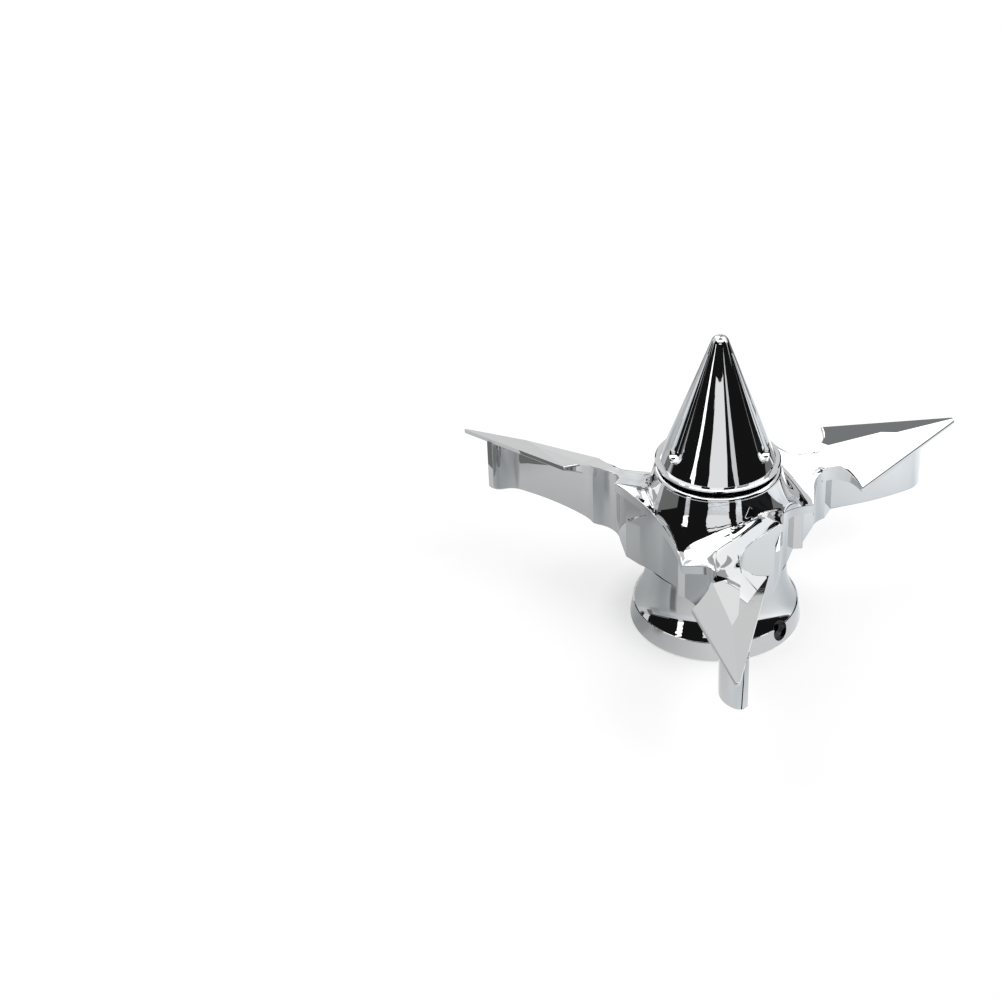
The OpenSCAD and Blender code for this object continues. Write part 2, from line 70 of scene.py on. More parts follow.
def empty_material(name):
    """A material without nodes, and its tree."""
    m = bpy.data.materials.new(name)
    m.use_nodes = True
    m.node_tree.nodes.clear()
    return m, m.node_tree


def add(tree, kind, **settings):
    n = tree.nodes.new(kind)
    for key, value in settings.items():
        setattr(n, key, value)
    return n


def maths(tree, operation, a, b=0.0, c=0.0):
    n = add(tree, "ShaderNodeMath", operation=operation)
    for i, v in enumerate((a, b, c)):
        if isinstance(v, (int, float)):
            n.inputs[i].default_value = v
        else:
            tree.links.new(v, n.inputs[i])
    return n.outputs[0]


def plus(tree, a, b):
    return maths(tree, "ADD", a, b)


def minus(tree, a, b):
    return maths(tree, "SUBTRACT", a, b)


def times(tree, a, b):
    return maths(tree, "MULTIPLY", a, b)


def above(tree, value, limit):
    return maths(tree, "GREATER_THAN", value, limit)


def within(tree, value, middle, reach):
    """1 where a value lies less than reach from the middle, else 0."""
    return maths(tree, "LESS_THAN", maths(tree, "ABSOLUTE", minus(tree, value, middle)), reach)


def ramp(tree, value, stops, mode="LINEAR"):
    """A colour ramp; each stop is (place, tone), the tone a grey or a colour."""
    n = add(tree, "ShaderNodeValToRGB")
    n.color_ramp.interpolation = mode
    e = n.color_ramp.elements
    while len(e) < len(stops):
        e.new(0.5)
    for item, (at, tone) in zip(e, stops):
        item.position = at
        item.color = (tone, tone, tone, 1) if isinstance(tone, (int, float)) else tone
    tree.links.new(value, n.inputs[0])
    return n.outputs[0]


def noise(tree, vector, scale, detail, rough=0.5):
    n = add(tree, "ShaderNodeTexNoise")
    n.inputs["Scale"].default_value = scale
    n.inputs["Detail"].default_value = detail
    n.inputs["Roughness"].default_value = rough
    tree.links.new(vector, n.inputs["Vector"])
    return n.outputs["Fac"]


def object_place(tree):
    return add(tree, "ShaderNodeTexCoord").outputs["Object"]


def split(tree, vector):
    """The x, y and z of a vector."""
    n = add(tree, "ShaderNodeSeparateXYZ")
    tree.links.new(vector, n.inputs[0])
    return n.outputs


def turn_share(tree, x, y, shift=0.0):
    """Where a place lies round the axis, as a share of a full turn from +X."""
    share = maths(tree, "DIVIDE", maths(tree, "ARCTAN2", y, x), 2 * math.pi)
    return maths(tree, "WRAP", plus(tree, share, shift), 1.0, 0.0)


def mix_shaders(tree, share, first, second):
    """The tree's output: the first shader, and the second one by its share."""
    pick = add(tree, "ShaderNodeMixShader")
    tree.links.new(share, pick.inputs[0])
    tree.links.new(first.outputs[0], pick.inputs[1])
    tree.links.new(second.outputs[0], pick.inputs[2])
    tree.links.new(pick.outputs[0], add(tree, "ShaderNodeOutputMaterial").inputs[0])


# Materials of the cover

SURFACE_SOCKETS = [
    ("Tone", "NodeSocketColor"),
    ("Roughness", "NodeSocketFloat"),
    ("Height", "NodeSocketFloat"),
]
WIPE_TURN = (0.4, 0.2, 0.7)
WIPE_STRETCH = (1, 14, 1)
COOL_PLATE = (0.545, 0.556, 0.566, 1)
WARM_PLATE = (0.560, 0.562, 0.562, 1)
SPECK_SHARE = 0.012
PEEL_SHARE = 0.5
CUT_SHARE = 0.2
GRAIN_ROUGH = 0.12
GRAIN_HEIGHT = 0.3
BUMP_DEPTH = 0.00002


def plated_group():
    """Polished plate: faint haze, wiping scratches and orange peel, by object position."""
    g, gi, go = new_group(
        "plated_surface",
        [("Haze", "NodeSocketFloat", 0.02), ("Scratch", "NodeSocketFloat", 0.02)],
        SURFACE_SOCKETS,
    )
    at = object_place(g)
    patches = noise(g, at, scale=45, detail=4, rough=0.55)
    fine = noise(g, at, scale=900, detail=2)
    peel = noise(g, at, scale=260, detail=1, rough=0.4)
    wiped = add(g, "ShaderNodeMapping")
    wiped.inputs["Rotation"].default_value = WIPE_TURN
    wiped.inputs["Scale"].default_value = WIPE_STRETCH
    g.links.new(at, wiped.inputs["Vector"])
    lines = noise(g, wiped.outputs[0], scale=320, detail=2, rough=0.6)
    hair = ramp(g, lines, [(0.60, 0.0), (0.66, 1.0), (0.70, 0.0)])
    where = ramp(g, patches, [(0.45, 0.0), (0.75, 1.0)])
    cut = times(g, hair, where)
    haze = times(g, where, gi.outputs["Haze"])
    speck = times(g, fine, SPECK_SHARE)
    rough = plus(g, plus(g, haze, speck), times(g, cut, gi.outputs["Scratch"]))
    g.links.new(rough, go.inputs["Roughness"])
    height = minus(g, times(g, peel, PEEL_SHARE), times(g, cut, CUT_SHARE))
    g.links.new(height, go.inputs["Height"])
    tone = ramp(g, patches, [(0.25, COOL_PLATE), (0.75, WARM_PLATE)])
    g.links.new(tone, go.inputs["Tone"])
    return g


def metal_group():
    """Turned or ground steel: rings of tool marks about the part's axis, fine grain and stains."""
    g, gi, go = new_group(
        "worked_steel",
        [
            ("Light", "NodeSocketColor", (0.6, 0.6, 0.6, 1)),
            ("Dark", "NodeSocketColor", (0.4, 0.4, 0.4, 1)),
            ("Rough", "NodeSocketFloat", 0.3),
            ("Marks", "NodeSocketFloat", 1.0),
        ],
        SURFACE_SOCKETS,
    )
    at = object_place(g)
    x, y, z = split(g, at)
    radius = maths(g, "SQRT", plus(g, times(g, x, x), times(g, y, y)))
    along = add(g, "ShaderNodeCombineXYZ")
    g.links.new(radius, along.inputs[0])
    g.links.new(z, along.inputs[2])
    rings = noise(g, along.outputs[0], scale=2600, detail=2)
    stain = noise(g, at, scale=160, detail=5, rough=0.6)
    grain = noise(g, at, scale=3000, detail=2)
    mix = add(g, "ShaderNodeMix", data_type="RGBA")
    g.links.new(ramp(g, stain, [(0.35, 0.0), (0.7, 1.0)]), mix.inputs["Factor"])
    g.links.new(gi.outputs["Light"], mix.inputs[6])
    g.links.new(gi.outputs["Dark"], mix.inputs[7])
    g.links.new(mix.outputs[2], go.inputs["Tone"])
    worn = times(g, minus(g, grain, 0.5), GRAIN_ROUGH)
    g.links.new(plus(g, gi.outputs["Rough"], worn), go.inputs["Roughness"])
    tops = times(g, rings, gi.outputs["Marks"])
    g.links.new(plus(g, tops, times(g, grain, GRAIN_HEIGHT)), go.inputs["Height"])
    return g


PLATED = plated_group()
WORKED = metal_group()


def start_material(name, group, bump, metallic):
    """A Principled material fed by a shared group for tone, roughness and bump height."""
    m = bpy.data.materials.new(name)
    m.use_nodes = True
    t = m.node_tree
    shader = t.nodes["Principled BSDF"]
    shader.inputs["Metallic"].default_value = metallic
    g = add(t, "ShaderNodeGroup")
    g.node_tree = group
    b = add(t, "ShaderNodeBump")
    b.inputs["Strength"].default_value = bump
    b.inputs["Distance"].default_value = BUMP_DEPTH
    t.links.new(g.outputs["Height"], b.inputs["Height"])
    t.links.new(g.outputs["Tone"], shader.inputs["Base Color"])
    t.links.new(g.outputs["Roughness"], shader.inputs["Roughness"])
    t.links.new(b.outputs[0], shader.inputs["Normal"])
    return m, g


def plated(name, haze, scratch, bump):
    m, g = start_material(name, PLATED, bump, metallic=1.0)
    g.inputs["Haze"].default_value = haze
    g.inputs["Scratch"].default_value = scratch
    return m


def worked(name, light, dark, rough, marks, bump, metallic=1.0):
    m, g = start_material(name, WORKED, bump, metallic)
    g.inputs["Light"].default_value = (*light, 1)
    g.inputs["Dark"].default_value = (*dark, 1)
    g.inputs["Rough"].default_value = rough
    g.inputs["Marks"].default_value = marks
    return m


MATERIALS = {
    "rotor_chrome": plated("chrome_on_rotor", haze=0.03, scratch=0.04, bump=0.05),
    "cone_chrome": plated("chrome_on_cone", haze=0.02, scratch=0.03, bump=0.04),
    "cup_chrome": plated("chrome_on_cup", haze=0.04, scratch=0.05, bump=0.06),
    "plain_steel": worked(
        "turned_steel", light=(0.52, 0.51, 0.50), dark=(0.36, 0.35, 0.34),
        rough=0.26, marks=1.0, bump=0.25,
    ),
    "dark_steel": worked(
        "blackened_steel", light=(0.045, 0.045, 0.05), dark=(0.02, 0.02, 0.022),
        rough=0.38, marks=0.4, bump=0.2,
    ),
    "spring_steel": worked(
        "spring_steel", light=(0.30, 0.31, 0.33), dark=(0.18, 0.18, 0.19),
        rough=0.30, marks=0.3, bump=0.2,
    ),
    "bearing_steel": worked(
        "ground_steel", light=(0.60, 0.60, 0.60), dark=(0.50, 0.50, 0.50),
        rough=0.14, marks=0.8, bump=0.12,
    ),
    "ball_steel": worked(
        "polished_balls", light=(0.62, 0.62, 0.63), dark=(0.56, 0.56, 0.57),
        rough=0.06, marks=0.0, bump=0.03,
    ),
    "shield_steel": worked(
        "pressed_shields", light=(0.55, 0.54, 0.52), dark=(0.42, 0.41, 0.39),
        rough=0.24, marks=0.7, bump=0.2,
    ),
    "cage_plastic": worked(
        "moulded_cage", light=(0.62, 0.53, 0.36), dark=(0.55, 0.45, 0.29),
        rough=0.48, marks=0.2, bump=0.2, metallic=0.0,
    ),
}

SLOTS = {part["node"]: part["material_slot"] for part in frame["record"]["subparts"]}

for node, obj in frame["nodes"].items():
    if not obj.data.materials:
        obj.data.materials.append(None)
    for i in range(len(obj.material_slots)):
        obj.material_slots[i].link = "OBJECT"
        obj.material_slots[i].material = MATERIALS[SLOTS[node]]


# Cone, cup and rotor with their edges rounded

MERGE_GAP = 0.000002
JOIN_FLATS = math.radians(0.6)
ROUND_STEPS = 3
# edges that bend more than this are rounded or kept sharp
HARD_BEND = 28
# faces that look up and are large enough are flats, and stay crisp between each other
FLAT_LOOKS_UP = 0.5
FLAT_AREA = 0.000002
FLAT_BEND = 1.2
# faces whose normals lie flatter than this are upright walls
WALL_LEAN = 0.2
# radius of the rounded corners between two upright walls
WALL_ROUND = 0.0012
# share of the room beside an edge that its rounding may take
ROOM_SHARE = 0.4
# inside this radius the deck's skin makes the rotor's rounded rims
SKIN_R = 0.0365
NORMAL_WEIGHT = 60


def new_object(bm, name):
    """An object with the bmesh as its mesh, in the scene."""
    mesh = bpy.data.meshes.new(name)
    bm.to_mesh(mesh)
    bm.free()
    obj = bpy.data.objects.new(name, mesh)
    bpy.context.scene.collection.objects.link(obj)
    return obj


def merged_copy(node, name):
    """A new object with the node's mesh, its doubled points merged and its flats joined up."""
    source = frame["nodes"][node]
    bm = bmesh.new()
    bm.from_mesh(source.data)
    bm.transform(source.matrix_world)
    bmesh.ops.remove_doubles(bm, verts=bm.verts, dist=MERGE_GAP)
    bmesh.ops.dissolve_degenerate(bm, edges=bm.edges, dist=MERGE_GAP)
    bmesh.ops.dissolve_limit(bm, angle_limit=JOIN_FLATS, verts=bm.verts, edges=bm.edges)
    bmesh.ops.recalc_face_normals(bm, faces=bm.faces)
    return new_object(bm, name)


def room_beside(edge):
    """The least length, square to the edge, of the edges that meet it on its two faces."""
    along = (edge.verts[1].co - edge.verts[0].co).normalized()
    least = 1.0
    for f in edge.link_faces:
        for v in edge.verts:
            for other in v.link_edges:
                if other is edge or other not in f.edges:
                    continue
                side = other.verts[1].co - other.verts[0].co
                across = (side - along * side.dot(along)).length
                if across > side.length / 2:
                    least = min(least, across)
    return least


def mark_edges(mesh, width, bladed):
    """Smooth faces with sharp edges where they belong, and bevel weights on the rotor's outer edges."""
    bm = bmesh.new()
    bm.from_mesh(mesh)
    weight = bm.edges.layers.float.new("bevel_weight_edge")
    for f in bm.faces:
        f.smooth = True
    for e in bm.edges:
        if len(e.link_faces) != 2:
            continue
        bend = math.degrees(e.calc_face_angle(0))
        flats = all(f.normal.z > FLAT_LOOKS_UP and f.calc_area() > FLAT_AREA for f in e.link_faces)
        walls = all(abs(f.normal.z) < WALL_LEAN for f in e.link_faces)
        hard = bend > HARD_BEND
        wide = min(WALL_ROUND if walls else width, ROOM_SHARE * room_beside(e))
        middle = (e.verts[0].co + e.verts[1].co) / 2
        if bladed and hard and not flats and middle.xy.length > SKIN_R:
            e[weight] = wide / WALL_ROUND
        e.smooth = not (hard or (flats and bend > FLAT_BEND))
    bm.to_mesh(mesh)
    bm.free()


def soften(obj, width, bladed):
    """Rounds the sharp edges, by their weights on the rotor and by their angle elsewhere."""
    b = obj.modifiers.new("rounded_edges", "BEVEL")
    b.width = WALL_ROUND if bladed else width
    b.segments = ROUND_STEPS
    b.limit_method = "WEIGHT" if bladed else "ANGLE"
    b.angle_limit = math.radians(HARD_BEND)
    b.use_clamp_overlap = not bladed
    w = obj.modifiers.new("even_normals", "WEIGHTED_NORMAL")
    w.keep_sharp = True
    w.weight = NORMAL_WEIGHT
    mark_edges(obj.data, width, bladed)


def dress(obj, slot):
    obj.data.materials.clear()
    obj.data.materials.append(MATERIALS[slot])


def finish_piece(node, body, slot, width, bladed=False):
    piece = merged_copy(node, node + "_finished")
    soften(piece, width, bladed)
    dress(piece, slot)
    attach(piece, body)
    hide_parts(node)


finish_piece("nose_cone", "base_unit", "cone_chrome", width=0.0002)
finish_piece("base_cup", "base_unit", "cup_chrome", width=0.0003)
finish_piece("rotor", "rotor_unit", "rotor_chrome", width=0.0004, bladed=True)


# Skin of the deck, which flows from the hub to the rim and the blades' necks

HUB_R = 0.01602
NECK_X = 0.0358
FIRST_BLADE = math.radians(270)
BLADE_TURN = math.radians(120)
# rays that feel for the deck start here, and lower hits are no deck
PROBE_Z = 0.06
DECK_LOW = 0.027
# height taken where a ray finds no deck
MISSED_Z = 0.035
# grid on which the creases are filled
CELL = 0.0004
GRID_REACH = 0.038
GRID_IN = 0.0161
GRID_OUT = 0.0375
FILL_ROUNDS = 70
# outside this radius the deck's rim keeps its height
HELD_R = 0.0175
# from this radius on, over this width, the skin leaves the CAD's deck for the filled grid
EASE_R = 0.0168
EASE_WIDE = 0.0016
# flare of the hub: where it runs out, and its slopes at the hub and on the deck
FLARE_R = 0.0195
FLARE_Z = 0.0349
FLARE_STEEP = 4.0
DECK_SLOPE = 1.25
FLARE_SINK = 0.00005
CREASE_FILL = 0.0006
# directions round the axis, and rows from the hub to the rim, which lie closer at the hub
AROUND = 480
ACROSS = 34
ROW_POWER = 1.5
# steps that feel for the rim
RIM_START = 0.0165
RIM_STEP = 0.0002
RIM_HALVINGS = 8
RIM_INSET = 0.00002
# the skin lies this high over the deck, and comes down over the last rows
SKIN_LIFT = 0.00007
LIFT_ROWS = 5
RIM_ROUND = 0.00026
# (outwards, up) from the rim's corner, over the rounded edge and in under it
RIM_LINE = [
    (-0.00012, 0.00006),
    (-0.00002, 0.00002),
    (0.00004, -0.00006),
    (0.00005, -0.0002),
    (-0.0003, -0.0005),
]
# the skin's ends dip below the deck at the hub and at the necks
ROOT_IN = 0.0006
ROOT_DOWN = 0.0004
NECK_DIP = 0.0003
SKIN_MERGE = 0.0000001
SKIN_SHARP = math.radians(32)


def rotor_tree():
    """The rotor's mesh, ready for rays."""
    bm = bmesh.new()
    bm.from_mesh(frame["nodes"]["rotor"].data)
    tree = BVHTree.FromBMesh(bm)
    bm.free()
    return tree


def deck_top(tree, x, y):
    """Height of the deck at a place, or None where there is no deck."""
    hit = tree.ray_cast(Vector((x, y, PROBE_Z)), Vector((0, 0, -1)))[0]
    return None if hit is None or hit.z < DECK_LOW else hit.z


def four_beside(grid):
    """For each inner cell of a grid, the sum of the four cells beside it."""
    return grid[:-2, 1:-1] + grid[2:, 1:-1] + grid[1:-1, :-2] + grid[1:-1, 2:]


def filled_grid(tree):
    """The deck's heights on a grid, its creases filled as under a sheet that is drawn tight."""
    half = int(GRID_REACH / CELL)
    size = 2 * half + 1
    old = numpy.full((size, size), numpy.nan)
    for i in range(size):
        for j in range(size):
            x, y = (i - half) * CELL, (j - half) * CELL
            if GRID_IN < math.hypot(x, y) < GRID_OUT:
                z = deck_top(tree, x, y)
                if z is not None:
                    old[i, j] = z
    known = ~numpy.isnan(old)
    count = four_beside(numpy.pad(known.astype(float), 1))
    ys, xs = numpy.meshgrid(numpy.arange(size) - half, numpy.arange(size) - half)
    held = known & (count < 4) & (numpy.hypot(xs, ys) * CELL > HELD_R)
    now = old.copy()
    for _ in range(FILL_ROUNDS):
        mean = four_beside(numpy.pad(numpy.nan_to_num(now), 1)) / numpy.maximum(count, 1)
        now = numpy.where(known & ~held, numpy.maximum(old, mean), old)
    return now


def flare(r):
    """Height of the hub's flare, steep at the hub and running out to the slope of the deck."""
    wide = FLARE_R - HUB_R
    left = (FLARE_R - r) / wide
    if left <= 0:
        return FLARE_Z - DECK_SLOPE * (r - FLARE_R)
    return FLARE_Z + wide * left * (DECK_SLOPE + (FLARE_STEEP - DECK_SLOPE) * left / 2)


def joined(a, b):
    """The higher of two heights, with the crease between them filled."""
    close = max(CREASE_FILL - abs(a - b), 0) / CREASE_FILL
    return max(a, b) + close * close * CREASE_FILL / 4


def draped(tree, grid, x, y):
    """Height of the filled grid at a place, and of the deck itself close to the hub."""
    bare = deck_top(tree, x, y) or MISSED_Z
    share = min((math.hypot(x, y) - EASE_R) / EASE_WIDE, 1)
    half = len(grid) // 2
    u, v = x / CELL + half, y / CELL + half
    i, j = int(u), int(v)
    patch = grid[i:i + 2, j:j + 2]
    if share <= 0 or numpy.isnan(patch).any():
        return bare
    u, v = u - i, v - j
    near = patch[0, 0] * (1 - u) + patch[1, 0] * u
    far = patch[0, 1] * (1 - u) + patch[1, 1] * u
    return (1 - share) * bare + share * float(near * (1 - v) + far * v)


def find_rim(tree, a):
    """Radius of the deck's rim in one direction, and whether the skin ends on a blade's neck there."""
    c, s = math.cos(a), math.sin(a)

    def on_deck(r):
        return deck_top(tree, r * c, r * s) is not None

    from_blade = (a - FIRST_BLADE + BLADE_TURN / 2) % BLADE_TURN - BLADE_TURN / 2
    end = NECK_X / math.cos(from_blade)
    step, edge = RIM_STEP, RIM_START
    while edge < end and on_deck(edge + step):
        edge += step
    for _ in range(RIM_HALVINGS):
        step /= 2
        if edge < end and on_deck(edge + step):
            edge += step
    return min(edge, end), edge >= end


def skin_section(tree, grid, a):
    """(radius, height) of the skin in one direction, from inside the hub to under the rim."""
    c, s = math.cos(a), math.sin(a)
    edge, at_neck = find_rim(tree, a)
    edge_z = deck_top(tree, (edge - RIM_INSET) * c, (edge - RIM_INSET) * s) or MISSED_Z
    line = []
    for k in range(ACROSS + 1):
        r = HUB_R + (edge - RIM_ROUND - HUB_R) * (k / ACROSS) ** ROW_POWER
        z = joined(draped(tree, grid, r * c, r * s), flare(r) - FLARE_SINK)
        if k == 0:
            line.append((r - ROOT_IN, z - ROOT_DOWN))
        line.append((r, z + SKIN_LIFT * min(1, (ACROSS - k) / LIFT_ROWS)))
    for out, rise in RIM_LINE:
        line.append((edge + out, edge_z + (min(rise, -NECK_DIP) if at_neck else rise)))
    return line


def deck_skin():
    tree = rotor_tree()
    grid = filled_grid(tree)
    sections = [skin_section(tree, grid, 2 * math.pi * i / AROUND) for i in range(AROUND)]
    rows = len(sections[0]) - 1
    bm = bmesh.new()
    made = bmesh.ops.create_grid(bm, x_segments=AROUND, y_segments=rows, size=1)
    for v in made["verts"]:
        i = round((v.co.x + 1) / 2 * AROUND) % AROUND
        k = round((v.co.y + 1) / 2 * rows)
        a = 2 * math.pi * i / AROUND
        r, z = sections[i][k]
        v.co = (r * math.cos(a), r * math.sin(a), z)
    bmesh.ops.remove_doubles(bm, verts=bm.verts, dist=SKIN_MERGE)
    bmesh.ops.recalc_face_normals(bm, faces=bm.faces)
    if sum(f.normal.z * f.calc_area() for f in bm.faces) < 0:
        bmesh.ops.reverse_faces(bm, faces=bm.faces)
    for f in bm.faces:
        f.smooth = True
    skin = new_object(bm, "deck_skin")
    skin.data.set_sharp_from_angle(angle=SKIN_SHARP)
    dress(skin, "rotor_chrome")
    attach(skin, "rotor_unit")
    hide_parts("rotor")


deck_skin()


# Cards of the studio

CARD_FAR = 4.0
FLAG_FAR = 3.8
# the cards face this place in the cover, or the front blade beside its barb
MIDDLE = (0, 0, 0.035)
BARB_AT = (0.008, -0.045, 0.034)


def plane_at(name, centre, normal, width, height):
    bm = bmesh.new()
    bmesh.ops.create_grid(bm, x_segments=1, y_segments=1, size=0.5)
    bmesh.ops.scale(bm, vec=(width, height, 1), verts=bm.verts)
    obj = new_object(bm, name)
    turn = Vector(normal).to_track_quat("Z", "Y").to_matrix().to_4x4()
    obj.matrix_world = Matrix.Translation(centre) @ turn
    return obj


def only_mirrored(obj):
    """Leaves an object in reflections alone: it isn't seen, casts no light and throws no shadow."""
    obj.visible_camera = False
    obj.visible_diffuse = False
    obj.visible_shadow = False
    obj.visible_transmission = False


def card_material(name, strength, tone=(1, 1, 1)):
    m, t = empty_material(name)
    e = add(t, "ShaderNodeEmission")
    e.inputs["Color"].default_value = (*tone, 1)
    e.inputs["Strength"].default_value = strength
    t.links.new(e.outputs[0], add(t, "ShaderNodeOutputMaterial").inputs[0])
    return m


def card(name, azimuth, elevation, wide, high, material, far=CARD_FAR, about=MIDDLE):
    """A card seen only in reflections, so many degrees wide and high as seen from the cover."""
    a, e = math.radians(azimuth), math.radians(elevation)
    out = Vector((math.cos(a) * math.cos(e), math.sin(a) * math.cos(e), math.sin(e)))
    span = 2 * far * math.tan(math.radians(wide / 2))
    tall = 2 * far * math.tan(math.radians(high / 2))
    obj = plane_at(name, Vector(about) + out * far, -out, span, tall)
    obj.data.materials.append(material)
    only_mirrored(obj)


BRIGHT = card_material("bright_card", 2.6)
SOFT = card_material("soft_card", 1.28)
DARK = card_material("dark_card", 0.02)
GREY = card_material("grey_card", 0.32, (0.95, 0.98, 1.0))

# white on the right blade, the deck and the necks
card("side_box", -12, 37, wide=40, high=34, material=BRIGHT)
card("high_box", 46, 64, wide=15, high=18, material=BRIGHT)
card("neck_box", 31, 50, wide=24, high=28, material=BRIGHT)
card("back_box", 119, 24, wide=13, high=9, material=BRIGHT)
card("back_high_box", 127, 43, wide=22, high=28, material=BRIGHT)
card("left_high_box", 155, 63, wide=55, high=34, material=BRIGHT)
# white over the camera, which the cone throws on the inner side of the front blade
card("front_box", -94, 63, wide=70, high=36, material=BRIGHT)
# lighter facet beside the front blade's ridge
card("ridge_card", 106, 27.5, wide=9, high=8, material=SOFT)
# stripes on the cone, through the gaps of the cloth
card("window_box", -92, 17, wide=40, high=34, material=SOFT)
card("gap_box", 217, 15, wide=22, high=30, material=BRIGHT)
# dark side of the right blade
card("dark_flag", 72, 40, wide=13, high=36, material=GREY)
# black overhead, which the cone throws on the front blade beside its barb, and on the barb itself
card("top_flag", -94, 83, wide=36, high=18, material=DARK, far=FLAG_FAR)
card("barb_flag", 88.5, 43.6, wide=9, high=6, material=DARK, far=FLAG_FAR, about=BARB_AT)


# Black cloth round the camera's side

CLOTH_R = 0.46
CLOTH_HIGH = 0.46
CLOTH_STEPS = 96
CLOTH_OFF_FLOOR = 0.001
CLOTH_GLOW = 0.012
# (degrees round from +X, height of the cloth from there on)
CLOTH = [
    (0, 0.09), (22, 0.15), (76, 0.0), (102, 0.14), (122, 0.0), (146, 0.12), (160, 0.0), (170, 0.10),
    (186, 0.16), (206, 0.17), (214, 0.0), (221, 0.17), (251, 0.0), (285, 0.17), (295, 0.0), (304, 0.17),
    (346, 0.09),
]
RAGGED = 0.03
# above its gaps the cloth closes again on the camera's side, later in one window, and below a bar
CLOSED_AT, CLOSED_REACH = 266 / 360, 78 / 360
WINDOW_AT, WINDOW_REACH = 268 / 360, 17 / 360
CLOSED_FROM = 0.17
WINDOW_TALL = 0.17
BAR_Z, BAR_REACH = 0.18, 0.02


def cloth_material():
    """Black cloth with ragged gaps that show as white stripes on the cone, and clear elsewhere."""
    m, t = empty_material("black_cloth")
    at = object_place(t)
    x, y, up = split(t, at)
    ragged = times(t, minus(t, noise(t, at, scale=26, detail=4, rough=0.6), 0.5), RAGGED)
    turn = turn_share(t, x, y, ragged)
    top = ramp(t, turn, [(d / 360, h) for d, h in CLOTH], "CONSTANT")
    low = maths(t, "LESS_THAN", up, top)
    window = within(t, turn, WINDOW_AT, WINDOW_REACH)
    foot = plus(t, times(t, window, WINDOW_TALL), CLOSED_FROM)
    side = within(t, turn, CLOSED_AT, CLOSED_REACH)
    bar = within(t, up, BAR_Z, BAR_REACH)
    high = times(t, maths(t, "MAXIMUM", above(t, up, foot), bar), side)
    dark = add(t, "ShaderNodeEmission")
    dark.inputs["Strength"].default_value = CLOTH_GLOW
    mix_shaders(t, maths(t, "MAXIMUM", low, high), add(t, "ShaderNodeBsdfTransparent"), dark)
    return m


def cloth_ring():
    bm = bmesh.new()
    ring = bmesh.ops.create_circle(bm, cap_ends=False, radius=CLOTH_R, segments=CLOTH_STEPS)
    edges = list({e for v in ring["verts"] for e in v.link_edges})
    raised = bmesh.ops.extrude_edge_only(bm, edges=edges)
    up = [v for v in raised["geom"] if isinstance(v, bmesh.types.BMVert)]
    bmesh.ops.translate(bm, vec=(0, 0, CLOTH_HIGH), verts=up)
    bmesh.ops.translate(bm, vec=(0, 0, CLOTH_OFF_FLOOR), verts=bm.verts)
    obj = new_object(bm, "cloth_ring")
    obj.data.materials.append(cloth_material())
    only_mirrored(obj)


cloth_ring()


# Floor, white to the camera, whose painted reflection tones and painted shade show only in reflections

FLOOR_SIZE = 12
FLOOR_MATTE = (0.86, 0.86, 0.86, 1)
# patches of painted shade and paler painted light in the floor's reflections, from bluish grey to white
PAINTED_SHADE_PATCH = (0.46, 0.50, 0.54, 1)
PAINTED_PALE_PATCH = (0.86, 0.90, 0.93, 1)
WHITE = (1, 1, 1, 1)
# (share of a turn from +X, tone): painted shade in reflections, darker to the left and behind, where
# the walls of the left blade look
PAINTED_SIDE_SHADE = [
    (0.0, 1.0), (0.10, 0.95), (0.22, 0.80), (0.29, 0.45), (0.33, 0.60), (0.39, 0.42), (0.45, 0.52),
    (0.50, 0.46), (0.53, 0.36), (0.56, 0.40), (0.575, 0.55), (0.62, 0.62), (0.74, 0.85), (0.90, 0.92),
    (1.0, 1.0),
]
# (radius, tone): painted shadow in reflections, a little darker close to the foot
PAINTED_FOOT_SHADOW = [(0.035, 0.74), (0.07, 0.84), (0.09, 1.0)]
# painted shade in reflections: a half-dark band to the left, by its share of a turn and by its radius
SHADE_BAND_TURN = [(0.475, 0.0), (0.49, 0.5), (0.515, 0.5), (0.53, 0.0)]
SHADE_BAND_RADIUS = [(0.066, 0.0), (0.074, 1.0), (0.12, 1.0), (0.15, 0.0)]
# a painted dark line in reflections, which shows as a painted dark reflection, an upright streak on the
# cup
PAINTED_LINE_TURN = [(0.568, 0.0), (0.574, 0.9), (0.592, 0.9), (0.602, 0.0)]
PAINTED_LINE_RADIUS = [(0.028, 0.0), (0.034, 1.0), (0.060, 1.0), (0.078, 0.0)]
# painted shade: behind cloth that is higher than this, the floor is black in reflections from this
# radius on
SHADE_CLOTH = 0.05
SHADE_R = 0.20
SHADE_DEPTH = 0.985
# past this share of a turn, on the camera's side, that painted shade takes the matte floor too
SHADE_FRONT = 0.56
# a narrow painted black streak in reflections to the left, from this radius on
STREAK_AT, STREAK_REACH = 172 / 360, 4 / 360
STREAK_R = 0.09
GLOW_MIRRORED = 1.6
GLOW_SEEN = 1.0
GLOW_SHARE = 0.80
# (radius, share of glow that the camera sees): the rest is matte and keeps the shadow
SEEN_SHARE = [(0.0, 0.40), (0.0232, 0.42), (0.030, 0.70), (0.10, 0.72), (0.45, 1.0)]


def dimmed(tree, tone, turn, far, turn_stops, radius_stops):
    """A tone less what two ramps, by turn and by radius, take off together."""
    off = times(tree, ramp(tree, turn, turn_stops), ramp(tree, far, radius_stops))
    return times(tree, tone, minus(tree, 1.0, off))


